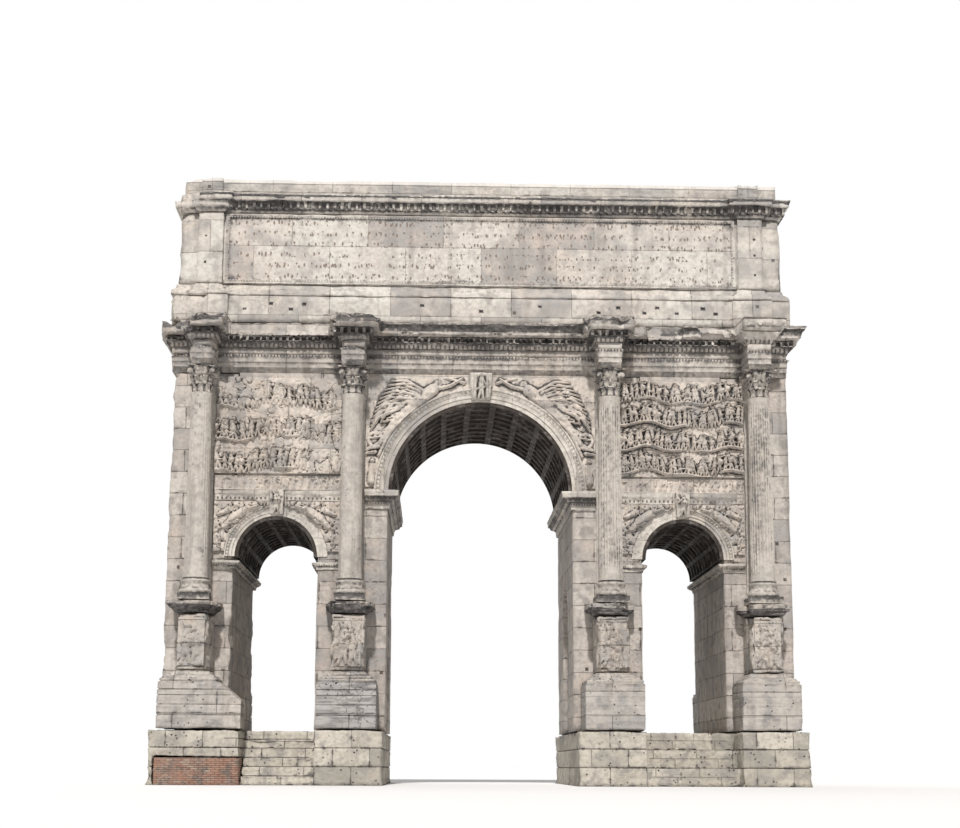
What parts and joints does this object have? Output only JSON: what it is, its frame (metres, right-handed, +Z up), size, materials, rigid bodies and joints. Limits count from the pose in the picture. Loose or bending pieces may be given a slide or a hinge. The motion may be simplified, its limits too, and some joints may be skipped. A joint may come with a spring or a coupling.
{
  "type": "triumphal arch",
  "caption": "Weathered marble triumphal arch with a wide central passage between lower side passages, free-standing columns on pedestals and a hollow attic.",
  "frame": {"origin": "centre of the arch's footprint at the lowest ground that its base meets", "axes": "+X along the front from left to right, +Y from the front face towards the back, +Z up"},
  "size_m": [24.71, 11.33, 23],
  "materials": {
    "travertine_base": "pitted travertine, yellowish grey",
    "brick": "weathered red brick",
    "wall_marble": "weathered warm marble blocks",
    "core_masonry": "rough concrete and rubble",
    "soffit_marble": "smoke-stained marble",
    "pedestal_marble": "worn marble with grey crust",
    "column_marble": "worn white marble",
    "trim_marble": "weathered carved marble",
    "relief_marble": "deeply weathered relief marble",
    "entablature_marble": "marble with dark crust",
    "attic_marble": "pale marble with grey stains"
  },
  "bodies": {
    "root": {"base_left": "travertine_base", "base_right": "travertine_base", "brick_repair": "brick", "outer_pier_left": "wall_marble", "outer_pier_right": "wall_marble", "inner_pier_left": "wall_marble", "inner_pier_right": "wall_marble", "side_vault_left": "wall_marble", "side_vault_right": "wall_marble", "main_vault": "wall_marble", "upper_core": "core_masonry", "attic_roof": "core_masonry", "vault_coffers": "soffit_marble", "pedestal_plinths_front": "pedestal_marble", "pedestal_plinths_back": "pedestal_marble", "pedestal_dies_front": "pedestal_marble", "pedestal_dies_back": "pedestal_marble", "pedestal_caps_front": "pedestal_marble", "pedestal_caps_back": "pedestal_marble", "column_bases_front": "column_marble", "column_bases_back": "column_marble", "column_shafts_front": "column_marble", "column_shafts_back": "column_marble", "capitals_front": "column_marble", "capitals_back": "column_marble", "pilasters": "column_marble", "keystones": "trim_marble", "archivolts": "trim_marble", "imposts": "trim_marble", "string_courses": "trim_marble", "relief_panels": "relief_marble", "small_friezes": "relief_marble", "architrave": "entablature_marble", "frieze": "entablature_marble", "cornice_bed": "entablature_marble", "cornice": "entablature_marble", "attic_socle": "attic_marble", "attic_base_moulding": "attic_marble", "attic_wall_front": "attic_marble", "attic_wall_back": "attic_marble", "attic_end_walls": "attic_marble", "attic_pilasters": "attic_marble", "inscription_panels": "attic_marble", "attic_cornice": "attic_marble", "parapet": "attic_marble"}
  },
  "joints": []
}
